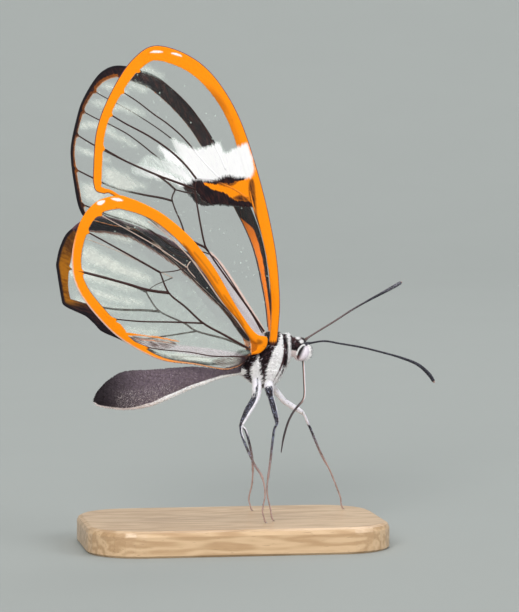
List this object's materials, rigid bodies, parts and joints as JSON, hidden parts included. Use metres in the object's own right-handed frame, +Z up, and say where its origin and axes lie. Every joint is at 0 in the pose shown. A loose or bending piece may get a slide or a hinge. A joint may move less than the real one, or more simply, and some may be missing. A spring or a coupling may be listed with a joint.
{
  "type": "glasswing butterfly",
  "caption": "Life-size still model of a clear-winged butterfly standing with its wings raised over its back, on a low wooden display base.",
  "frame": {"origin": "centre of the underside of the display base", "axes": "+Z up, +X toward the head, +Y toward the animal's left"},
  "size_m": [0.0341, 0.018, 0.046],
  "materials": {
    "head": "short dark scales and hairs with white spots",
    "eye": "smooth, glossy, finely faceted",
    "palp": "white scales with dark bristles",
    "antenna": "satin, fine rings",
    "proboscis": "satin, fine rings",
    "thorax": "black and white striped scales and hairs",
    "abdomen": "fine grey-brown scales, pale underside",
    "forewing": "clear milky membrane with orange and brown scaled rims and brown veins",
    "hindwing": "clear milky membrane with orange and brown scaled rims and brown veins",
    "foreleg": "short white scales",
    "midleg": "dark scales with pale speckles and a white stripe",
    "hindleg": "dark scales with pale speckles and a white stripe",
    "stand": "fine straight grain, satin oil"
  },
  "bodies": {
    "root": {"stand_base": "stand", "thorax": "thorax", "head": "head", "abdomen": "abdomen", "proboscis": "proboscis", "eye_right": "eye", "palp_right": "palp", "antenna_right": "antenna", "foreleg_right": "foreleg", "midleg_right": "midleg", "hindleg_right": "hindleg", "forewing_right": "forewing", "hindwing_right": "hindwing", "eye_left": "eye", "palp_left": "palp", "antenna_left": "antenna", "foreleg_left": "foreleg", "midleg_left": "midleg", "hindleg_left": "hindleg", "forewing_left": "forewing", "hindwing_left": "hindwing"}
  },
  "joints": []
}
